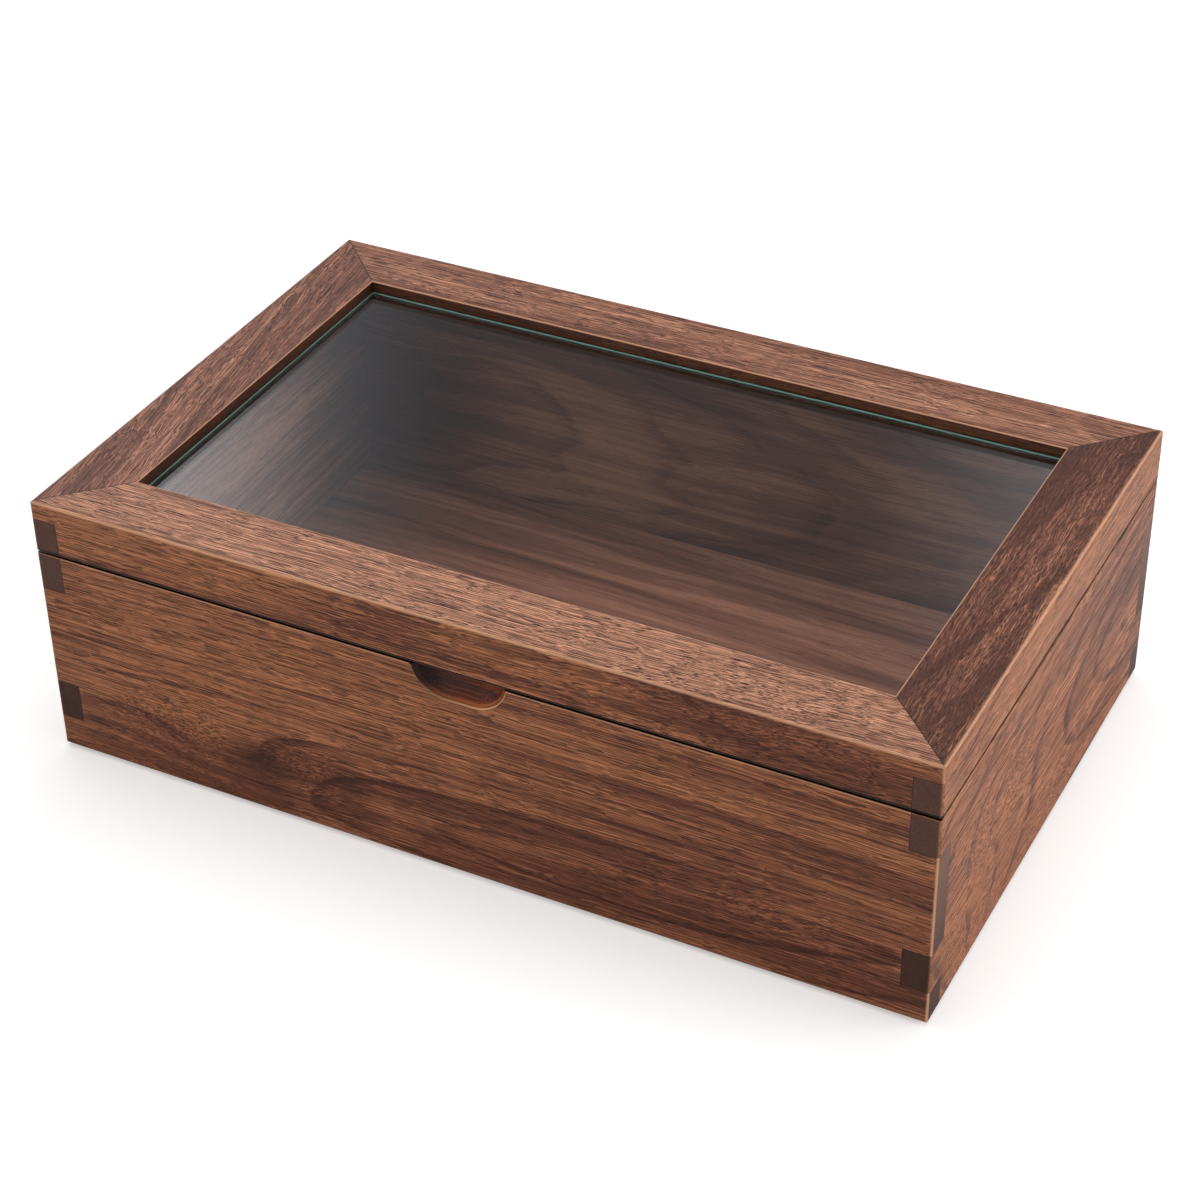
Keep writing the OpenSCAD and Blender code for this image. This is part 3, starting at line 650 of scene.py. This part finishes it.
def foam_tape():
    """Thin black foam tape under the glass: four lengths, with softly squeezed long edges."""
    foam = soft_finish("foam_tape", ("#211f1e", "#151413"), grit=0.15, depth=0.03)
    low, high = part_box("glazing_tape")
    middle, size = (low + high) / 2, high - low
    width, gap, squeezed = 0.0012, 0.0002, 0.0001
    lengths = []
    for side in (-1, 1):
        lengths.append(((0, side * (size.y - width) / 2), (size.x, width)))
        lengths.append(((side * (size.x - width) / 2, 0), (width, size.y - 2 * (width + gap))))
    parts = []
    for (x, y), (long, wide) in lengths:
        bpy.ops.mesh.primitive_cube_add(size=1, location=middle + Vector((x, y, 0)))
        bpy.context.object.scale = (long, wide, size.z)
        bpy.ops.object.transform_apply(location=True, scale=True)
        bpy.ops.object.mode_set(mode="EDIT")
        bpy.ops.mesh.bevel(offset=squeezed, segments=2, affect="EDGES")
        bpy.ops.object.mode_set(mode="OBJECT")
        parts.append(bpy.context.object)
    for part in parts:
        part.select_set(True)
    bpy.ops.object.join()
    finish_piece("foam_tape", foam, "lid", "glazing_tape")


# Pale floor and plain soft studio light
FLOOR_W = 12
# The paper's glow near the box and far from it, and how far out it starts and stops to grow
NEAR_GLOW, FAR_GLOW = 0.4, 0.65
GLOW_START, GLOW_END = 0.5, 2.5
# Levels of the light on the box, and of the dark card and the bright wall that the glass mirrors
ROOM_LEVEL, CARD_LEVEL, WALL_LEVEL = 0.55, 0.2, 2.2
# Level directions as the photo shows them: to the right, away from the viewer, and to the left
RIGHTWARDS, AWAY, LEFTWARDS = (0.898, 0.44, 0), (-0.44, 0.898, 0), (-0.898, -0.44, 0)
# The spot that the lamps point at
LIGHTS_AIM = (0, 0, 0.05)


def make_floor():
    bpy.ops.mesh.primitive_plane_add(size=FLOOR_W, location=(0, 0, 0))
    floor = bpy.context.object
    floor.name = "floor"
    material, n = new_material("white_paper_floor")
    diffuse = n("BsdfDiffuse", {"Color": rgb("#e8e8e8")})
    # Far from the box the lamps don't reach, so the paper is lifted more there, and no horizon shows
    far = n("VectorMath", {0: n("TexCoord", out="Object")}, out="Value", operation="LENGTH")
    strength = n("MapRange", {
        0: far, FROM_LOW: GLOW_START, FROM_HIGH: GLOW_END, TO_LOW: NEAR_GLOW, TO_HIGH: FAR_GLOW,
    })
    lift = n("Emission", {"Color": rgb("#ffffff"), "Strength": strength})
    lifted = n("AddShader", {0: diffuse, 1: lift})
    # The floor looks the same straight on and through the glass
    straight_on = n("LightPath", out="Is Camera Ray")
    through = n("LightPath", out="Is Transmission Ray")
    seen = n("Math", {0: straight_on, 1: through}, operation="MAXIMUM")
    n("OutputMaterial", {"Surface": n("MixShader", {0: seen, 1: diffuse, 2: lifted})})
    floor.data.materials.append(material)


def make_world():
    world = bpy.data.worlds.new("studio")
    bpy.context.scene.world = world
    world.use_nodes = True
    world.node_tree.nodes.clear()
    n = functools.partial(add, world.node_tree)
    light = n("Background", {"Color": rgb("#ffffff"), "Strength": ROOM_LEVEL})
    white = n("Background", {"Color": rgb("#ffffff"), "Strength": 1.0})
    direction = n("TexCoord", out="Generated")
    aside, behind, left = [
        n("VectorMath", {0: direction, 1: axis}, out="Value", operation="DOT_PRODUCT")
        for axis in (RIGHTWARDS, AWAY, LEFTWARDS)
    ]
    # A tall dark card behind the box keeps the middle of the glass clear, as in the photo
    aside = n("Math", {0: aside}, operation="ABSOLUTE")
    card = n("MapRange", {0: aside, FROM_LOW: 0.06, FROM_HIGH: 0.2, TO_LOW: 1.0, TO_HIGH: 0.0}, **EASED)
    behind = n("MapRange", {0: behind, FROM_LOW: 0.3, FROM_HIGH: 0.6})
    card = n("Math", {0: card, 1: behind}, operation="MULTIPLY")
    shade = n("MapRange", {0: card, TO_LOW: 1.0, TO_HIGH: CARD_LEVEL})
    # A bright wall on the left whitens that end of the glass
    wall = n("MapRange", {0: left, FROM_LOW: 0.12, FROM_HIGH: 0.2, TO_LOW: 1.0, TO_HIGH: WALL_LEVEL})
    shade = n("Math", {0: shade, 1: wall}, operation="MULTIPLY")
    studio = n("Background", {"Color": rgb("#f4f8ff"), "Strength": shade})
    mirrored = n("LightPath", out="Is Glossy Ray")
    through = n("LightPath", out="Is Transmission Ray")
    shiny = n("Math", {0: mirrored, 1: through}, operation="MAXIMUM")
    mixed = n("MixShader", {0: shiny, 1: light, 2: studio})
    mixed = n("MixShader", {0: n("LightPath", out="Is Camera Ray"), 1: mixed, 2: white})
    n("OutputWorld", {"Surface": mixed})


def area_light(name, at, size, power, mirrored=True):
    lamp = bpy.data.lights.new(name, "AREA")
    lamp.size = size
    lamp.energy = power
    holder = bpy.data.objects.new(name, lamp)
    bpy.context.scene.collection.objects.link(holder)
    aim = (Vector(LIGHTS_AIM) - Vector(at)).to_track_quat("-Z", "Y")
    holder.matrix_world = Matrix.Translation(at) @ aim.to_matrix().to_4x4()
    holder.visible_glossy = mirrored


make_camera()
front_board()
back_board()
floor_panel()
left_boards()
shared_boards()
rails()
strips()
glass()
brass()
felt_pads()
rubber_bumpers()
foam_tape()
make_floor()
make_world()
area_light("overhead", at=(-0.1, 0.15, 1.5), size=1.2, power=10)
# The glass doesn't mirror the low lamp, so that it stays clear from the left
area_light("right", at=(1.5, 0.5, 0.5), size=1.0, power=11.5, mirrored=False)
bpy.context.scene.view_settings.view_transform = "Standard"
